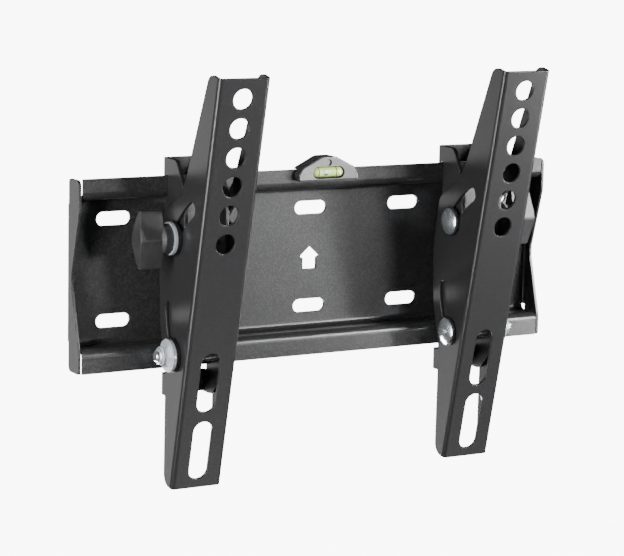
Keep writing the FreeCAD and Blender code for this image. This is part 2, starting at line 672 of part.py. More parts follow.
def level_body():
    """Moulded body of the spirit level, which sits over the top rail's lip."""
    half = LEVEL_HALF_WIDTH
    foot = LEVEL_FOOT_HALF_WIDTH
    bottom = LEVEL_FOOT
    knee = bottom + LEVEL_KNEE_HEIGHT
    shoulder = bottom + LEVEL_SHOULDER_HEIGHT
    top = bottom + LEVEL_HEIGHT
    crest = LEVEL_TOP_HALF_WIDTH
    bend = LEVEL_SHOULDER_RADIUS
    outline = [(-foot, bottom, LEVEL_CORNER_RADIUS), (foot, bottom, LEVEL_CORNER_RADIUS),
               (foot, knee, bend), (half, shoulder, bend), (crest, top, LEVEL_TOP_RADIUS),
               (-crest, top, LEVEL_TOP_RADIUS), (-half, shoulder, bend), (-foot, knee, bend)]
    back = LIP_BACK_DEPTH - LEVEL_BEHIND_LIP
    lip = RAIL_DEPTH + LEVEL_FIT

    def place_back(x, height):
        return front_point(x, height, back)
    body = prism(outline, place_back, V(0, -(LEVEL_FRONT - back), 0))
    front_edges = [edge for edge in body.Edges if abs(edge.BoundBox.YMax + LEVEL_FRONT) < TINY]
    body = body.makeFillet(LEVEL_EDGE_RADIUS, front_edges)
    over = RAIL_HALF_HEIGHT + LEVEL_FIT
    step = Part.makeBox(2 * (foot + PAST), lip - back + PAST, over - bottom + PAST,
                        V(-foot - PAST, -lip, bottom - PAST))
    window = level_slot(0, VIAL_HEIGHT, VIAL_LENGTH + 2 * LEVEL_FIT, VIAL_DIAMETER + 2 * LEVEL_FIT,
                        VIAL_FLAT_DEPTH - LEVEL_FIT, LEVEL_FRONT + PAST)
    eye = Part.makeCylinder(EYE_DIAMETER / 2, EYE_DEPTH + PAST,
                            front_point(0, bottom + EYE_ABOVE_FOOT, LEVEL_FRONT - EYE_DEPTH),
                            V(0, -1, 0))
    return body.cut([step, window, eye]).removeSplitter()


def level_vial():
    """Clear vial with round ends, flat at the back."""
    r = VIAL_DIAMETER / 2
    run = VIAL_LENGTH - VIAL_DIAMETER
    front = LEVEL_FRONT + VIAL_PROUD
    depth = front - r
    vial = x_cylinder(VIAL_DIAMETER, -run / 2, run / 2, depth, VIAL_HEIGHT)
    for x in (-run / 2, run / 2):
        vial = vial.fuse(Part.makeSphere(r, side_point(depth, VIAL_HEIGHT, x)))
    keep = Part.makeBox(VIAL_LENGTH + 2 * PAST, front - VIAL_FLAT_DEPTH + PAST,
                        VIAL_DIAMETER + 2 * PAST,
                        V(-VIAL_LENGTH / 2 - PAST, -front - PAST, VIAL_HEIGHT - r - PAST))
    return vial.common(keep).removeSplitter()


def save(shape, name):
    """Write one piece to its own file."""
    shape.exportStep("parts/" + name + ".step")


def side_pieces():
    """Pieces of one side, about x = 0 with the knob towards +X."""
    upper_tip = KNOB_STACK_END + STACK_GAP + BOLT_IN_KNOB
    lower_tip = KNOB_STACK_END + NUT_HEX_HEIGHT + NUT_COLLAR_HEIGHT + LOWER_BOLT_PAST_NUT
    return {
        "hook_bracket": hook_bracket(),
        "arm": arm(),
        "upper_bolt": carriage_bolt(UPPER_BOLT, UPPER_BOLT_ANGLE, upper_tip),
        "lower_bolt": carriage_bolt(LOWER_BOLT, LOWER_BOLT_ANGLE, lower_tip),
        "upper_sleeve": spacer_sleeve(UPPER_BOLT),
        "lower_sleeve": spacer_sleeve(LOWER_BOLT),
        "friction_washers": friction_washers(),
        "plain_washers": plain_washers(),
        "lock_nut": lock_nut(),
        "knob": wing_knob(),
        "knob_insert": knob_insert(),
    }


def main():
    os.makedirs("parts", exist_ok=True)
    save(wall_plate(), "wall_plate")
    save(level_body(), "level_body")
    save(level_vial(), "level_vial")
    for name, shape in side_pieces().items():
        right = shape.copy()
        right.translate(V(ARM_RIGHT_X, 0, 0))
        save(right, "right_" + name)
        left = shape.mirror(ORIGIN, X_AXIS)
        left.translate(V(ARM_LEFT_X, 0, 0))
        save(left, "left_" + name)


main()
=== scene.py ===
"""Looks of a tilting wall bracket for a flat television.

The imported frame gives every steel, zinc and plastic piece in its place. This
file gives them their finishes, and models what is too fine for the frame:
threaded bolt ends, the nylon rings of the lock nuts, and the bubble and the
two lines of the spirit level. It also sets up the studio and the camera.
"""
import math

import bmesh
import bpy
from bpy.props import FloatProperty, FloatVectorProperty, PointerProperty
from mathutils import Matrix, Vector


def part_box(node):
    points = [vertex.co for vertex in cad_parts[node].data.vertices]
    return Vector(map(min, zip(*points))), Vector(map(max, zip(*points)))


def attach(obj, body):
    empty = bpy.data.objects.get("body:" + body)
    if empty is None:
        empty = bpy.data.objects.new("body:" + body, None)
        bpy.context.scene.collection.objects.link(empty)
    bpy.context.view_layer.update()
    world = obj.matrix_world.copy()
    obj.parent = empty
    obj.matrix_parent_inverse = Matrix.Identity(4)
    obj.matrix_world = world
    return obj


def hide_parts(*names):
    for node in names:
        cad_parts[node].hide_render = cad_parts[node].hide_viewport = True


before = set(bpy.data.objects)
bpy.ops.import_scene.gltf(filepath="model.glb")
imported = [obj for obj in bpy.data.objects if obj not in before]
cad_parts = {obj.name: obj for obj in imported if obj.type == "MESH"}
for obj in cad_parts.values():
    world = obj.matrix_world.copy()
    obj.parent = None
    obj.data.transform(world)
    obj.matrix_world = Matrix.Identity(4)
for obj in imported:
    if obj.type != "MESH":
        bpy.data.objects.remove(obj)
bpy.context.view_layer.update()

bl_info = {
    "name": "Tilting wall bracket",
    "version": (1, 0, 0),
    "blender": (4, 5, 0),
    "location": "3D View > Sidebar > Bracket",
    "description": "Finishes and fine parts of a tilting television bracket",
    "category": "Object",
}

MM = 0.001
X_AXIS = (1, 0, 0)
# points nearer to each other than this are one
SAME_PLACE = 0.001 * MM
SIDES = ("left", "right")

# threaded ends of the lower bolts, which run along X
BOLT_RADIUS = 3.0 * MM
THREAD_IN_NUT = 0.6 * MM
CREST_SHARE = 0.2
THREAD_STEPS = 36
TIP_CHAMFER = 0.35 * MM
TIP_TAPER = 0.86

# nylon rings in the outer ends of the lock nuts
RING_WIDTH = 0.56 * MM
RING_PROUD = 0.14 * MM
RING_CORNER = 0.16 * MM
RING_STEPS = 32

# spirit level, whose vial runs along X
VIAL_RADIUS = 3.3 * MM
VIAL_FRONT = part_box("level_vial")[0].y
VIAL_AXIS = (0, VIAL_FRONT + VIAL_RADIUS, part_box("level_vial")[0].z + VIAL_RADIUS)
BUBBLE_LEFT_OF_MIDDLE = 1.9 * MM
BUBBLE_BEHIND_FRONT = 0.55 * MM
BUBBLE_ABOVE_AXIS = 0.2 * MM
BUBBLE_THICKNESS = 1.6 * MM
BUBBLE_HEIGHT_SHARE = 0.75
BUBBLE_BACK = 0.4 * MM
LINES_MIDDLE = -0.7 * MM
LINE_WIDTH = 0.6 * MM
LINE_THICKNESS = 0.12 * MM
LINE_PROUD = 0.06 * MM
LINE_REACH = math.radians(70)
LINE_STEPS = 20

# finishes
COAT_ROUGHNESS = (0.27, 0.29)
COAT_GLOSS = 0.6
COAT_BUMP_HEIGHT = 0.14 * MM
COAT_BUMP_STRENGTH = 0.55
PLASTIC_BUMP_HEIGHT = 0.05 * MM
PLASTIC_BUMP_STRENGTH = 0.3
ZINC_TARNISH = (0.94, 0.90, 0.86)
BRASS_COLORS = ((0.70, 0.52, 0.24), (0.82, 0.66, 0.36))
# painted shade and highlight on the vial: share of the vial's height, share of the fluid's
# colour there, and what is added to it
VIAL_PAINTED_LIGHT_STOPS = ((0.15, 0.15, 0.0), (0.27, 1.0, 0.0), (0.55, 1.12, 0.12), (0.82, 1.0, 0.0),
               (1.0, 0.75, 0.0))
INK_COLORS = ((0.10, 0.11, 0.03), (0.17, 0.18, 0.06))
# painted shade on the bubble's lower rim, then painted highlight above it
BUBBLE_PAINTED_SHADE_AND_HIGHLIGHT = ((0.01, 0.07, 0.05), (0.88, 0.96, 0.90))
BUBBLE_SHADE_BELOW_AXIS = 1.5 * MM
BUBBLE_SHADE_HEIGHT = 1.6 * MM
WASHER_NYLON_COLOR = (0.012, 0.012, 0.013)
RING_NYLON_COLOR = (0.30, 0.31, 0.33)

# studio
CAMERA_AIM = Vector((2.833, 0, -12.904)) * MM
AIR_COLOR = (0.95, 0.98, 1.0)
AIR_STRENGTH = 0.02
PAPER_COLOR = (0.9, 0.9, 0.9)
PAPER_GLOW = 9.0
FLOOR_HEIGHT = -0.6
FLOOR_RADIUS = 3.0
FLOOR_CORNERS = 96
BEND_RADIUS = 1.0
BEND_STEPS = 8
WALL_HEIGHT = 3.0
# name, degrees to the right, degrees up, distance, width, height, radiance
SOFTBOXES = (
    ("key_softbox", 52, -8, 1.4, 0.20, 0.30, 95.0),
    ("right_softbox", 46, 10, 1.4, 0.25, 0.25, 66.0),
    ("upper_softbox", 38, 21, 1.4, 0.30, 0.25, 66.0),
    ("plate_card", 26, -4, 1.4, 0.26, 0.20, 9.0),
    ("low_softbox", 34, -42, 1.4, 0.50, 0.25, 1.2),
    ("fold_strip", -66, 4, 0.7, 0.10, 0.80, 32.0),
    ("left_softbox", -150, -10, 1.0, 0.60, 0.50, 1.1),
    ("back_softbox", -170, -38, 1.4, 0.70, 0.50, 32.0),
    ("front_softbox", -30, 15, 1.6, 0.50, 0.40, 4.0),
)


class BracketFinishes(bpy.types.PropertyGroup):
    """Colours and textures of the bracket's materials."""

    coat_color: FloatVectorProperty(
        name="Powder coat", description="Base colour of the powder coat",
        subtype="COLOR", size=3, default=(0.020, 0.020, 0.021))
    coat_fleck_color: FloatVectorProperty(
        name="Powder coat fleck", description="Lighter fleck in the powder coat",
        subtype="COLOR", size=3, default=(0.045, 0.045, 0.046))
    coat_grain: FloatProperty(
        name="Coat grain", description="Size of one grain of the coat's texture",
        default=0.7 * MM, unit="LENGTH", precision=5)
    edge_round: FloatProperty(
        name="Edge round", description="Radius that the coat gives to sheet edges",
        default=0.35 * MM, unit="LENGTH", precision=5)
    arm_edge_round: FloatProperty(
        name="Arm edge round", description="Radius of the arms' and hooks' punched edges",
        default=0.7 * MM, unit="LENGTH", precision=5)
    zinc_color: FloatVectorProperty(
        name="Zinc", description="Colour of the bright zinc plate",
        subtype="COLOR", size=3, default=(0.87, 0.94, 1.0))
    plastic_color: FloatVectorProperty(
        name="Knob plastic", description="Colour of the moulded knobs",
        subtype="COLOR", size=3, default=(0.045, 0.045, 0.047))
    level_color: FloatVectorProperty(
        name="Level plastic", description="Colour of the level's body",
        subtype="COLOR", size=3, default=(0.11, 0.11, 0.115))
    fluid_color: FloatVectorProperty(
        name="Vial fluid", description="Colour of the level's fluid",
        subtype="COLOR", size=3, default=(0.58, 0.80, 0.22))


class BracketFineParts(bpy.types.PropertyGroup):
    """Sizes of the parts that are modelled here."""

    thread_pitch: FloatProperty(
        name="Thread pitch", description="Rise of the bolt thread in one turn",
        default=1.0 * MM, unit="LENGTH", precision=5)
    thread_depth: FloatProperty(
        name="Thread depth", description="Height of the bolt thread's ridge",
        default=0.55 * MM, unit="LENGTH", precision=5)
    bubble_length: FloatProperty(
        name="Bubble length", description="Length of the level's bubble",
        default=4.8 * MM, unit="LENGTH", precision=5)
    line_gap: FloatProperty(
        name="Line gap", description="Distance between the two lines on the vial",
        default=11.2 * MM, unit="LENGTH", precision=5)


class BracketStudio(bpy.types.PropertyGroup):
    """Place and lens of the camera."""

    camera_turn: FloatProperty(
        name="Turn", description="How far to the left of straight ahead the camera stands",
        default=0.517, subtype="ANGLE")
    camera_rise: FloatProperty(
        name="Rise", description="How far above the horizon the camera stands",
        default=0.166, subtype="ANGLE")
    camera_roll: FloatProperty(
        name="Roll", description="Turn of the camera about its own axis",
        default=0.021, subtype="ANGLE")
    camera_distance: FloatProperty(
        name="Distance", description="Distance from the camera to its aim",
        default=1.3665, unit="LENGTH")
    camera_lens: FloatProperty(
        name="Lens", description="Focal length in millimetres on a 36 mm sensor",
        default=138.8, unit="CAMERA")


def settings():
    return bpy.context.scene.bracket_finishes


def both_sides(*names):
    """Names of the nodes of both sides of the bracket."""
    return [side + "_" + name for side in SIDES for name in names]


def node_setup(name):
    """A material with its shader, its tree and Object coordinates."""
    material = bpy.data.materials.new(name)
    material.use_nodes = True
    tree = material.node_tree
    shader = tree.nodes["Principled BSDF"]
    place = tree.nodes.new("ShaderNodeTexCoord")
    return material, tree, shader, place.outputs["Object"]


def noise(tree, place, size, detail, stretch=None):
    """Noise whose features are about one size across."""
    texture = tree.nodes.new("ShaderNodeTexNoise")
    texture.inputs["Scale"].default_value = 1 / size
    texture.inputs["Detail"].default_value = detail
    if stretch is not None:
        mapping = tree.nodes.new("ShaderNodeMapping")
        mapping.inputs["Scale"].default_value = stretch
        tree.links.new(place, mapping.inputs["Vector"])
        place = mapping.outputs["Vector"]
    tree.links.new(place, texture.inputs["Vector"])
    return texture.outputs["Fac"]


def spread(tree, value, low, high, start=0.3, end=0.7):
    """Maps the middle of a noise onto a range of numbers."""
    node = tree.nodes.new("ShaderNodeMapRange")
    node.inputs["From Min"].default_value = start
    node.inputs["From Max"].default_value = end
    node.inputs["To Min"].default_value = low
    node.inputs["To Max"].default_value = high
    tree.links.new(value, node.inputs["Value"])
    return node.outputs["Result"]


def height_share(tree, place, low, high):
    """Goes from 0 at a low height to 1 at a high one."""
    split = tree.nodes.new("ShaderNodeSeparateXYZ")
    tree.links.new(place, split.inputs["Vector"])
    return spread(tree, split.outputs["Z"], 0, 1, start=low, end=high)


def color_ramp(tree, value, stops):
    """Ramp through colours, each given with its place."""
    node = tree.nodes.new("ShaderNodeValToRGB")
    elements = node.color_ramp.elements
    for element, (position, color) in zip(elements, (stops[0], stops[-1])):
        element.position = position
        element.color = (*color, 1)
    for position, color in stops[1:-1]:
        elements.new(position).color = (*color, 1)
    tree.links.new(value, node.inputs["Fac"])
    return node.outputs["Color"]


def two_colors(tree, value, first, second, start=0.4, end=0.6):
    """Ramp from one colour to another."""
    return color_ramp(tree, value, ((start, first), (end, second)))


def shaded(color, share, lift=0.0):
    """A colour made darker or paler."""
    return tuple(min(1.0, channel * share + lift) for channel in color)


def bump(tree, height, distance, strength, normal):
    """Bump of a real height, over a normal of its own."""
    node = tree.nodes.new("ShaderNodeBump")
    node.inputs["Distance"].default_value = distance
    node.inputs["Strength"].default_value = strength
    tree.links.new(height, node.inputs["Height"])
    tree.links.new(normal, node.inputs["Normal"])
    return node.outputs["Normal"]


def round_edges(tree, radius):
    """Normal that rounds sharp edges."""
    node = tree.nodes.new("ShaderNodeBevel")
    node.samples = 4
    node.inputs["Radius"].default_value = radius
    return node.outputs["Normal"]


def powder_coat(name, texture, edge_round):
    """Satin black powder coat with lighter flecks, from smooth to fine-textured."""
    look = settings()
    material, tree, shader, place = node_setup(name)
    grain = noise(tree, place, look.coat_grain, 3.0)
    fleck = noise(tree, place, look.coat_grain * 1.3, 1.0)
    cloud = noise(tree, place, 60 * MM, 1.0)
    light = tuple(a + (b - a) * texture
                  for a, b in zip(look.coat_color, look.coat_fleck_color))
    tree.links.new(two_colors(tree, fleck, look.coat_color, light, start=0.42, end=0.72),
                   shader.inputs["Base Color"])
    tree.links.new(spread(tree, cloud, *COAT_ROUGHNESS, start=0.1, end=0.9),
                   shader.inputs["Roughness"])
    shader.inputs["Specular IOR Level"].default_value = COAT_GLOSS
    tree.links.new(bump(tree, grain, COAT_BUMP_HEIGHT, COAT_BUMP_STRENGTH * texture,
                        round_edges(tree, edge_round)), shader.inputs["Normal"])
    return material


def zinc_plate(name, metallic, rough_low, rough_high):
    """Bright bluish zinc with faint streaks, from glossy to pale."""
    zinc_color = settings().zinc_color
    material, tree, shader, place = node_setup(name)
    streak = noise(tree, place, 5 * MM, 1.0)
    cloud = noise(tree, place, 6 * MM, 1.0)
    warm = tuple(channel * share for channel, share in zip(zinc_color, ZINC_TARNISH))
    tree.links.new(two_colors(tree, streak, zinc_color, warm, start=0.3, end=0.75),
                   shader.inputs["Base Color"])
    tree.links.new(spread(tree, cloud, rough_low, rough_high, start=0.2, end=0.8),
                   shader.inputs["Roughness"])
    shader.inputs["Metallic"].default_value = metallic
    return material


def moulded_plastic(name, color, rough_low, rough_high, grain, edge_round=0.3 * MM, gloss=0.5):
    """Moulded plastic with the fine texture of a spark-eroded tool."""
    material, tree, shader, place = node_setup(name)
    texture = noise(tree, place, grain, 2.0)
    cloud = noise(tree, place, 6 * MM, 2.0)
    tree.links.new(two_colors(tree, cloud, shaded(color, 0.8), color),
                   shader.inputs["Base Color"])
    tree.links.new(spread(tree, texture, rough_low, rough_high), shader.inputs["Roughness"])
    shader.inputs["Specular IOR Level"].default_value = gloss
    tree.links.new(bump(tree, texture, PLASTIC_BUMP_HEIGHT, PLASTIC_BUMP_STRENGTH,
                        round_edges(tree, edge_round)), shader.inputs["Normal"])
    return material


def turned_brass():
    """Brass with fine turning lines."""
    material, tree, shader, place = node_setup("brass_look")
    lines = noise(tree, place, 0.4 * MM, 1.0, stretch=(4.0, 0.4, 0.4))
    tree.links.new(two_colors(tree, lines, *BRASS_COLORS), shader.inputs["Base Color"])
    tree.links.new(spread(tree, lines, 0.25, 0.4), shader.inputs["Roughness"])
    shader.inputs["Metallic"].default_value = 1.0
    return material


def painted_light_vial():
    """Clear acrylic over yellow-green fluid, with painted shade at its low rim and top, a
    painted highlight in its middle and a faint painted glow.
    """
    fluid = settings().fluid_color
    material, tree, shader, place = node_setup("vial_look")
    middle = VIAL_AXIS[2]
    rise = height_share(tree, place, middle - VIAL_RADIUS, middle + VIAL_RADIUS)
    # painted shade low and high on the vial, painted highlight across its middle
    painted_shading = color_ramp(tree, rise, [(height, shaded(fluid, share, lift))
                                    for height, share, lift in VIAL_PAINTED_LIGHT_STOPS])
    tree.links.new(painted_shading, shader.inputs["Base Color"])
    # the painted shading also glows faintly, as painted light
    tree.links.new(painted_shading, shader.inputs["Emission Color"])
    shader.inputs["Emission Strength"].default_value = 0.2
    depth = noise(tree, place, 4 * MM, 1.0)
    tree.links.new(spread(tree, depth, 0.05, 0.12), shader.inputs["Roughness"])
    shader.inputs["IOR"].default_value = 1.49
    shader.inputs["Coat Weight"].default_value = 0.6
    shader.inputs["Coat Roughness"].default_value = 0.03
    return material


def printed_line():
    """Thin dark line printed on the vial."""
    material, tree, shader, place = node_setup("vial_line_look")
    ink = noise(tree, place, 0.8 * MM, 1.0)
    tree.links.new(two_colors(tree, ink, *INK_COLORS), shader.inputs["Base Color"])
    shader.inputs["Roughness"].default_value = 0.3
    return material


def air_bubble():
    """Bubble with a painted highlight, and painted shade along its lower rim where the fluid's
    edge shows dark.
    """
    material, tree, shader, place = node_setup("bubble_look")
    low = VIAL_AXIS[2] - BUBBLE_SHADE_BELOW_AXIS
    rise = height_share(tree, place, low, low + BUBBLE_SHADE_HEIGHT)
    # painted shade at the bubble's lower rim, painted highlight above
    tree.links.new(two_colors(tree, rise, *BUBBLE_PAINTED_SHADE_AND_HIGHLIGHT, start=0.3, end=0.8),
                   shader.inputs["Base Color"])
    shader.inputs["Roughness"].default_value = 0.08
    shader.inputs["Coat Weight"].default_value = 0.8
    shader.inputs["Coat Roughness"].default_value = 0.03
    return material


def finish(names, material):
    """Gives frame pieces a material."""
    for name in names:
        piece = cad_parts[name]
        piece.data.materials.clear()
        piece.data.materials.append(material)


def deselect_all():
    bpy.ops.object.select_all(action="DESELECT")


def select_only(piece):
    deselect_all()
    piece.select_set(True)
    bpy.context.view_layer.objects.active = piece


def edit_all():
    """Goes into edit mode with the whole mesh selected."""
    bpy.ops.object.mode_set(mode="EDIT")
    bpy.ops.mesh.select_all(action="SELECT")


def leave_edit(smooth_below):
    """Leaves edit mode, with edges that bend less than some degrees shaded smooth."""
    bpy.ops.object.mode_set(mode="OBJECT")
    bpy.ops.object.shade_smooth_by_angle(angle=math.radians(smooth_below))


def merge_all():
    """In edit mode, merges the doubles of the whole mesh."""
    bpy.ops.mesh.select_all(action="SELECT")
    bpy.ops.mesh.remove_doubles(threshold=SAME_PLACE)


def cut_off(place, facing):
    """In edit mode, drops what lies past a plane and closes the whole mesh there."""
    bpy.ops.mesh.select_all(action="SELECT")
    bpy.ops.mesh.bisect(plane_co=place, plane_no=facing, use_fill=True, clear_outer=True)


def middle_of(item):
    """Mean of the corners of an edge or a face."""
    return sum((vertex.co for vertex in item.verts), Vector()) / len(item.verts)


def pick(piece, kind, test):
    """In edit mode, selects only the vertices, edges or faces that pass a test."""
    bpy.ops.mesh.select_mode(type=kind)
    bpy.ops.mesh.select_all(action="DESELECT")
    mesh = bmesh.from_edit_mesh(piece.data)
    items = {"VERT": mesh.verts, "EDGE": mesh.edges, "FACE": mesh.faces}[kind]
    found = [item for item in items if test(item)]
    if not found:
        raise RuntimeError("nothing to select on " + piece.name)
    for item in found:
        item.select_set(True)
    mesh.select_flush_mode()
    bmesh.update_edit_mesh(piece.data)


def need_faces(piece):
    if not piece.data.polygons:
        raise RuntimeError(piece.name + " came out without faces")


def settle(piece, name, material, body):
    """Names a new piece, puts its place in its mesh, and fixes it to its body."""
    select_only(piece)
    bpy.ops.object.transform_apply()
    piece.name = name
    piece.data.name = name
    need_faces(piece)
    piece.data.materials.clear()
    piece.data.materials.append(material)
    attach(piece, body)


def nut_place(side):
    """Sign of the side's direction, the lower bolt's axis, and the X of its nut's outer end."""
    sign = -1 if side == "left" else 1
    low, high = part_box(side + "_lock_nut")
    axis = Vector(((low[i] + high[i]) / 2 for i in range(3)))
    return sign, axis, (low if sign < 0 else high).x


def nylon_ring(side):
    """Ring spun from a small profile with rounded outer corners."""
    sign, axis, nut_end = nut_place(side)
    centre = (nut_end + sign * (RING_PROUD - RING_WIDTH / 2), axis.y, axis.z)
    deselect_all()
    bpy.ops.mesh.primitive_plane_add(size=RING_WIDTH, location=centre)
    ring = bpy.context.object
    edit_all()
    bpy.ops.transform.translate(value=(0, BOLT_RADIUS + RING_WIDTH / 2, 0))
    bpy.ops.mesh.delete(type="ONLY_FACE")
    pick(ring, "VERT", lambda vertex: vertex.co.x * sign > 0)
    bpy.ops.mesh.bevel(offset=RING_CORNER, segments=2, affect="VERTICES")
    bpy.ops.mesh.select_all(action="SELECT")
    bpy.ops.mesh.spin(steps=RING_STEPS, angle=2 * math.pi, center=centre, axis=X_AXIS)
    merge_all()
    bpy.ops.mesh.normals_make_consistent(inside=False)
    leave_edit(smooth_below=35)
    return ring


def thread_end(side):
    """Helical ridge round the bolt's end, cut flat inside the nut and chamfered at the tip."""
    sizes = bpy.context.scene.bracket_fine_parts
    pitch = sizes.thread_pitch
    depth = sizes.thread_depth
    sign, axis, nut_end = nut_place(side)
    bolt_low, bolt_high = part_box(side + "_lower_bolt")
    tip = (bolt_low if sign < 0 else bolt_high).x
    end = tip - sign * TIP_CHAMFER
    low, high = sorted((nut_end - sign * THREAD_IN_NUT, end))
    turns = math.ceil((high - low) / pitch) + 2
    start = (low - pitch, axis.y, axis.z)
    ridge_middle = BOLT_RADIUS - depth / 2
    deselect_all()
    bpy.ops.mesh.primitive_plane_add(size=pitch, location=start)
    thread = bpy.context.object
    edit_all()
    bpy.ops.transform.resize(value=(1, depth / pitch, 1))
    bpy.ops.transform.translate(value=(0, ridge_middle, 0))
    bpy.ops.mesh.delete(type="ONLY_FACE")
    pick(thread, "EDGE", lambda edge: middle_of(edge).y < ridge_middle - depth / 4)
    bpy.ops.mesh.delete(type="EDGE")
    pick(thread, "VERT", lambda vertex: vertex.co.y > ridge_middle)
    bpy.ops.transform.resize(value=(CREST_SHARE, 1, 1), center_override=start)
    bpy.ops.object.mode_set(mode="OBJECT")
    helix = thread.modifiers.new("helix", "SCREW")
    helix.axis = "X"
    helix.angle = 2 * math.pi
    helix.screw_offset = pitch
    helix.iterations = turns
    helix.steps = THREAD_STEPS
    helix.render_steps = THREAD_STEPS
    helix.use_merge_vertices = True
    helix.merge_threshold = SAME_PLACE
    bpy.ops.object.modifier_apply(modifier=helix.name)
    bpy.ops.object.transform_apply()
    edit_all()
    merge_all()
    cut_off((low, axis.y, axis.z), (-1, 0, 0))
    cut_off((high, axis.y, axis.z), (1, 0, 0))
    pick(thread, "FACE", lambda face: abs(middle_of(face).x - end) < 10 * SAME_PLACE)
    bpy.ops.mesh.extrude_region_move(
        TRANSFORM_OT_translate={"value": (sign * TIP_CHAMFER, 0, 0)})
    bpy.ops.transform.resize(value=(1, TIP_TAPER, TIP_TAPER),
                             center_override=(end, axis.y, axis.z))
    bpy.ops.mesh.select_all(action="SELECT")
    bpy.ops.mesh.normals_make_consistent(inside=False)
    leave_edit(smooth_below=30)
    return thread


def threaded_bolt(side):
    """The frame's lower bolt, cut off inside its nut and given a threaded end."""
    sign, axis, nut_end = nut_place(side)
    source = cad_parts[side + "_lower_bolt"]
    thread = thread_end(side)
    bolt = bpy.data.objects.new(side + "_bolt_copy", source.data.copy())
    bpy.context.scene.collection.objects.link(bolt)
    bolt.matrix_world = source.matrix_world
    select_only(bolt)
    bpy.ops.object.transform_apply()
    edit_all()
    merge_all()
    cut_off((nut_end - sign * THREAD_IN_NUT, axis.y, axis.z), (sign, 0, 0))
    bpy.ops.mesh.customdata_custom_splitnormals_clear()
    leave_edit(smooth_below=30)
    thread.select_set(True)
    bpy.ops.object.join()
    return bolt


def vial_bubble():
    """Bubble flattened against the inside of the vial."""
    length = bpy.context.scene.bracket_fine_parts.bubble_length
    x = VIAL_AXIS[0] - BUBBLE_LEFT_OF_MIDDLE
    y = VIAL_FRONT + BUBBLE_BEHIND_FRONT
    z = VIAL_AXIS[2] + BUBBLE_ABOVE_AXIS
    deselect_all()
    bpy.ops.mesh.primitive_uv_sphere_add(segments=32, ring_count=16, radius=length / 2,
                                         location=(x, y, z))
    bubble = bpy.context.object
    edit_all()
    bpy.ops.transform.resize(value=(1, BUBBLE_THICKNESS / length, BUBBLE_HEIGHT_SHARE),
                             center_override=(x, y, z))
    cut_off((x, y + BUBBLE_BACK, z), (0, 1, 0))
    leave_edit(smooth_below=40)
    return bubble


def vial_line(x_offset):
    """Thin band that follows the front half of the vial's round."""
    x, y, z = VIAL_AXIS
    centre = (x + x_offset, y, z)
    radius = VIAL_RADIUS + LINE_PROUD
    deselect_all()
    bpy.ops.mesh.primitive_plane_add(size=LINE_WIDTH, location=centre)
    line = bpy.context.object
    edit_all()
    bpy.ops.transform.resize(value=(1, LINE_THICKNESS / LINE_WIDTH, 1))
    bpy.ops.transform.translate(value=(0, LINE_THICKNESS / 2 - radius, 0))
    bpy.ops.transform.rotate(value=-LINE_REACH, orient_axis="X", center_override=centre)
    bpy.ops.mesh.spin(steps=LINE_STEPS, angle=2 * LINE_REACH, center=centre, axis=X_AXIS)
    merge_all()
    bpy.ops.mesh.normals_make_consistent(inside=False)
    leave_edit(smooth_below=35)
    return line


class BRACKET_OT_coated_sheet(bpy.types.Operator):
    """Powder coat on the wall plate, the hook brackets and the arms"""

    bl_idname = "bracket.coated_sheet"
    bl_label = "Coat the sheet metal"

    def execute(self, context):
        look = settings()
        finish(["wall_plate"],
               powder_coat("plate_coat_look", texture=1.0, edge_round=look.edge_round))
        finish(both_sides("arm", "hook_bracket"),
               powder_coat("arm_coat_look", texture=0.3, edge_round=look.arm_edge_round))
        return {"FINISHED"}


class BRACKET_OT_hardware(bpy.types.Operator):
    """Zinc and nylon finishes, threaded ends of the lower bolts and rings of the nuts"""

    bl_idname = "bracket.hardware"
    bl_label = "Plate the hardware"

    def execute(self, context):
        zinc = zinc_plate("bolt_zinc_look", metallic=0.9, rough_low=0.17, rough_high=0.22)
        finish(both_sides("upper_bolt", "lower_bolt", "upper_sleeve", "lower_sleeve"), zinc)
        finish(both_sides("plain_washers", "lock_nut"),
               zinc_plate("nut_zinc_look", metallic=0.6, rough_low=0.20, rough_high=0.26))
        nylon = moulded_plastic("black_nylon_look", WASHER_NYLON_COLOR,
                                rough_low=0.38, rough_high=0.5, grain=0.5 * MM)
        finish(both_sides("friction_washers"), nylon)
        ring_nylon = moulded_plastic("ring_nylon_look", RING_NYLON_COLOR,
                                     rough_low=0.35, rough_high=0.45, grain=0.5 * MM)
        for side in SIDES:
            body = side + "_hook"
            bolt = threaded_bolt(side)
            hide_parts(side + "_lower_bolt")
            settle(bolt, side + "_lower_bolt_threaded", zinc, body)
            settle(nylon_ring(side), side + "_nut_ring", ring_nylon, body)
        return {"FINISHED"}


class BRACKET_OT_knobs(bpy.types.Operator):
    """Textured black plastic on the wing knobs, and brass on their inserts"""

    bl_idname = "bracket.knobs"
    bl_label = "Finish the wing knobs"

    def execute(self, context):
        plastic = moulded_plastic("knob_plastic_look", settings().plastic_color,
                                  rough_low=0.32, rough_high=0.38, grain=0.45 * MM,
                                  edge_round=0.7 * MM)
        finish(both_sides("knob"), plastic)
        finish(both_sides("knob_insert"), turned_brass())
        return {"FINISHED"}


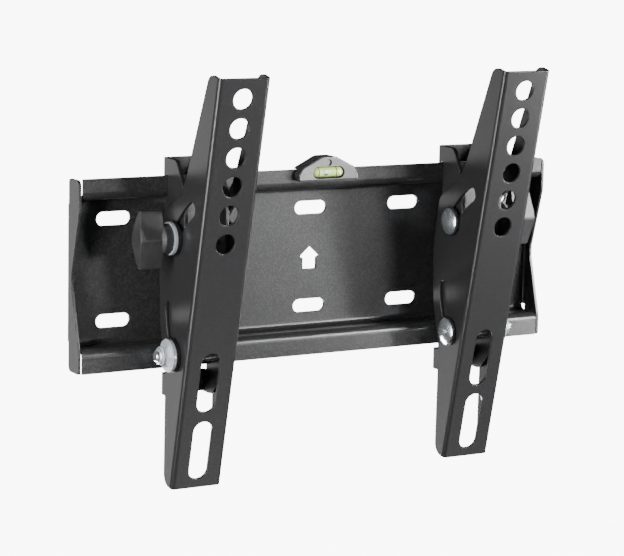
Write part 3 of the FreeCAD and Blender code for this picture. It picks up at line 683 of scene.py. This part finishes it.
class BRACKET_OT_level(bpy.types.Operator):
    """Finishes of the spirit level, with its bubble and its two lines"""

    bl_idname = "bracket.level"
    bl_label = "Finish the spirit level"

    def execute(self, context):
        grey = moulded_plastic("level_plastic_look", settings().level_color,
                               rough_low=0.14, rough_high=0.18, grain=0.5 * MM,
                               edge_round=0.15 * MM, gloss=1.0)
        finish(["level_body"], grey)
        finish(["level_vial"], painted_light_vial())
        settle(vial_bubble(), "level_bubble", air_bubble(), "wall_plate")
        ink = printed_line()
        half_gap = context.scene.bracket_fine_parts.line_gap / 2
        for name, x_offset in (("left", LINES_MIDDLE - half_gap),
                               ("right", LINES_MIDDLE + half_gap)):
            settle(vial_line(x_offset), "level_line_" + name, ink, "wall_plate")
        return {"FINISHED"}


def direction(turn, rise):
    """Direction that points away from the bracket, to the right of straight ahead and up."""
    return Vector((math.sin(turn) * math.cos(rise), -math.cos(turn) * math.cos(rise),
                   math.sin(rise)))


def add_camera(studio):
    """Camera at the photograph's viewing angle."""
    data = bpy.data.cameras.new("camera")
    data.lens = studio.camera_lens
    camera = bpy.data.objects.new("camera", data)
    bpy.context.scene.collection.objects.link(camera)
    turn = studio.camera_turn
    roll = studio.camera_roll
    back = direction(-turn, studio.camera_rise)
    level_right = Vector((math.cos(turn), -math.sin(turn), 0))
    right = level_right * math.cos(roll) + back.cross(level_right) * math.sin(roll)
    axes = Matrix((right, back.cross(right), back)).transposed().to_4x4()
    place = CAMERA_AIM + back * studio.camera_distance
    camera.matrix_world = Matrix.Translation(place) @ axes
    bpy.context.scene.camera = camera


def add_softbox(name, azimuth, elevation, distance, width, height, radiance):
    """Rectangular light that faces the bracket, placed by its angles as seen from it."""
    data = bpy.data.lights.new(name, "AREA")
    data.shape = "RECTANGLE"
    data.size = width
    data.size_y = height
    data.energy = radiance * width * height * math.pi
    light = bpy.data.objects.new(name, data)
    light.visible_camera = False
    bpy.context.scene.collection.objects.link(light)
    back = direction(math.radians(azimuth), math.radians(elevation))
    light.matrix_world = (Matrix.Translation(back * distance)
                          @ back.to_track_quat("Z", "Y").to_matrix().to_4x4())


def add_backdrop():
    """Round pale floor that turns up into a wall, far below and around the bracket."""
    deselect_all()
    bpy.ops.mesh.primitive_circle_add(vertices=FLOOR_CORNERS, radius=FLOOR_RADIUS,
                                      fill_type="NGON", location=(0, 0, FLOOR_HEIGHT))
    backdrop = bpy.context.object
    backdrop.name = "backdrop"
    edit_all()
    reach = FLOOR_RADIUS
    height = 0.0
    for i in range(1, BEND_STEPS + 1):
        angle = math.pi / 2 * i / BEND_STEPS
        next_reach = FLOOR_RADIUS + BEND_RADIUS * math.sin(angle)
        next_height = BEND_RADIUS * (1 - math.cos(angle))
        bpy.ops.mesh.extrude_region_move(
            TRANSFORM_OT_translate={"value": (0, 0, next_height - height)})
        share = next_reach / reach
        bpy.ops.transform.resize(value=(share, share, 1))
        reach = next_reach
        height = next_height
    bpy.ops.mesh.extrude_region_move(TRANSFORM_OT_translate={"value": (0, 0, WALL_HEIGHT)})
    bpy.ops.mesh.delete(type="ONLY_FACE")
    bpy.ops.object.mode_set(mode="OBJECT")
    bpy.ops.object.transform_apply()
    bpy.ops.object.shade_smooth()
    need_faces(backdrop)
    material, _, shader, _ = node_setup("backdrop_paper")
    shader.inputs["Base Color"].default_value = (*PAPER_COLOR, 1)
    shader.inputs["Roughness"].default_value = 0.9
    shader.inputs["Emission Color"].default_value = (1, 1, 1, 1)
    shader.inputs["Emission Strength"].default_value = PAPER_GLOW
    backdrop.data.materials.append(material)
    backdrop.visible_diffuse = False
    backdrop.visible_glossy = False
    backdrop.visible_transmission = False
    backdrop.visible_shadow = False


class BRACKET_OT_studio(bpy.types.Operator):
    """Pale backdrop, soft lights and the camera"""

    bl_idname = "bracket.studio"
    bl_label = "Set up the studio"

    def execute(self, context):
        add_backdrop()
        world = bpy.data.worlds.new("studio_air")
        world.use_nodes = True
        air = world.node_tree.nodes["Background"]
        air.inputs["Color"].default_value = (*AIR_COLOR, 1)
        air.inputs["Strength"].default_value = AIR_STRENGTH
        context.scene.world = world
        for softbox in SOFTBOXES:
            add_softbox(*softbox)
        add_camera(context.scene.bracket_studio)
        return {"FINISHED"}


class BRACKET_PT_panel(bpy.types.Panel):
    """Sidebar panel with every step and its settings"""

    bl_idname = "BRACKET_PT_panel"
    bl_label = "Tilting wall bracket"
    bl_space_type = "VIEW_3D"
    bl_region_type = "UI"
    bl_category = "Bracket"

    def draw(self, context):
        layout = self.layout
        for step in STEPS:
            layout.operator(step.bl_idname)
        scene = context.scene
        for group in (scene.bracket_finishes, scene.bracket_fine_parts, scene.bracket_studio):
            box = layout.box()
            for name in group.bl_rna.properties.keys():
                if name not in ("rna_type", "name"):
                    box.prop(group, name)


STEPS = (BRACKET_OT_coated_sheet, BRACKET_OT_hardware, BRACKET_OT_knobs, BRACKET_OT_level,
         BRACKET_OT_studio)
CLASSES = (BracketFinishes, BracketFineParts, BracketStudio) + STEPS + (BRACKET_PT_panel,)


def register():
    for kind in CLASSES:
        bpy.utils.register_class(kind)
    bpy.types.Scene.bracket_finishes = PointerProperty(type=BracketFinishes)
    bpy.types.Scene.bracket_fine_parts = PointerProperty(type=BracketFineParts)
    bpy.types.Scene.bracket_studio = PointerProperty(type=BracketStudio)


def unregister():
    del bpy.types.Scene.bracket_studio
    del bpy.types.Scene.bracket_fine_parts
    del bpy.types.Scene.bracket_finishes
    for kind in reversed(CLASSES):
        bpy.utils.unregister_class(kind)


def main():
    """Makes every step in order."""
    register()
    bpy.ops.bracket.coated_sheet()
    bpy.ops.bracket.hardware()
    bpy.ops.bracket.knobs()
    bpy.ops.bracket.level()
    bpy.ops.bracket.studio()


if __name__ == "__main__":
    main()
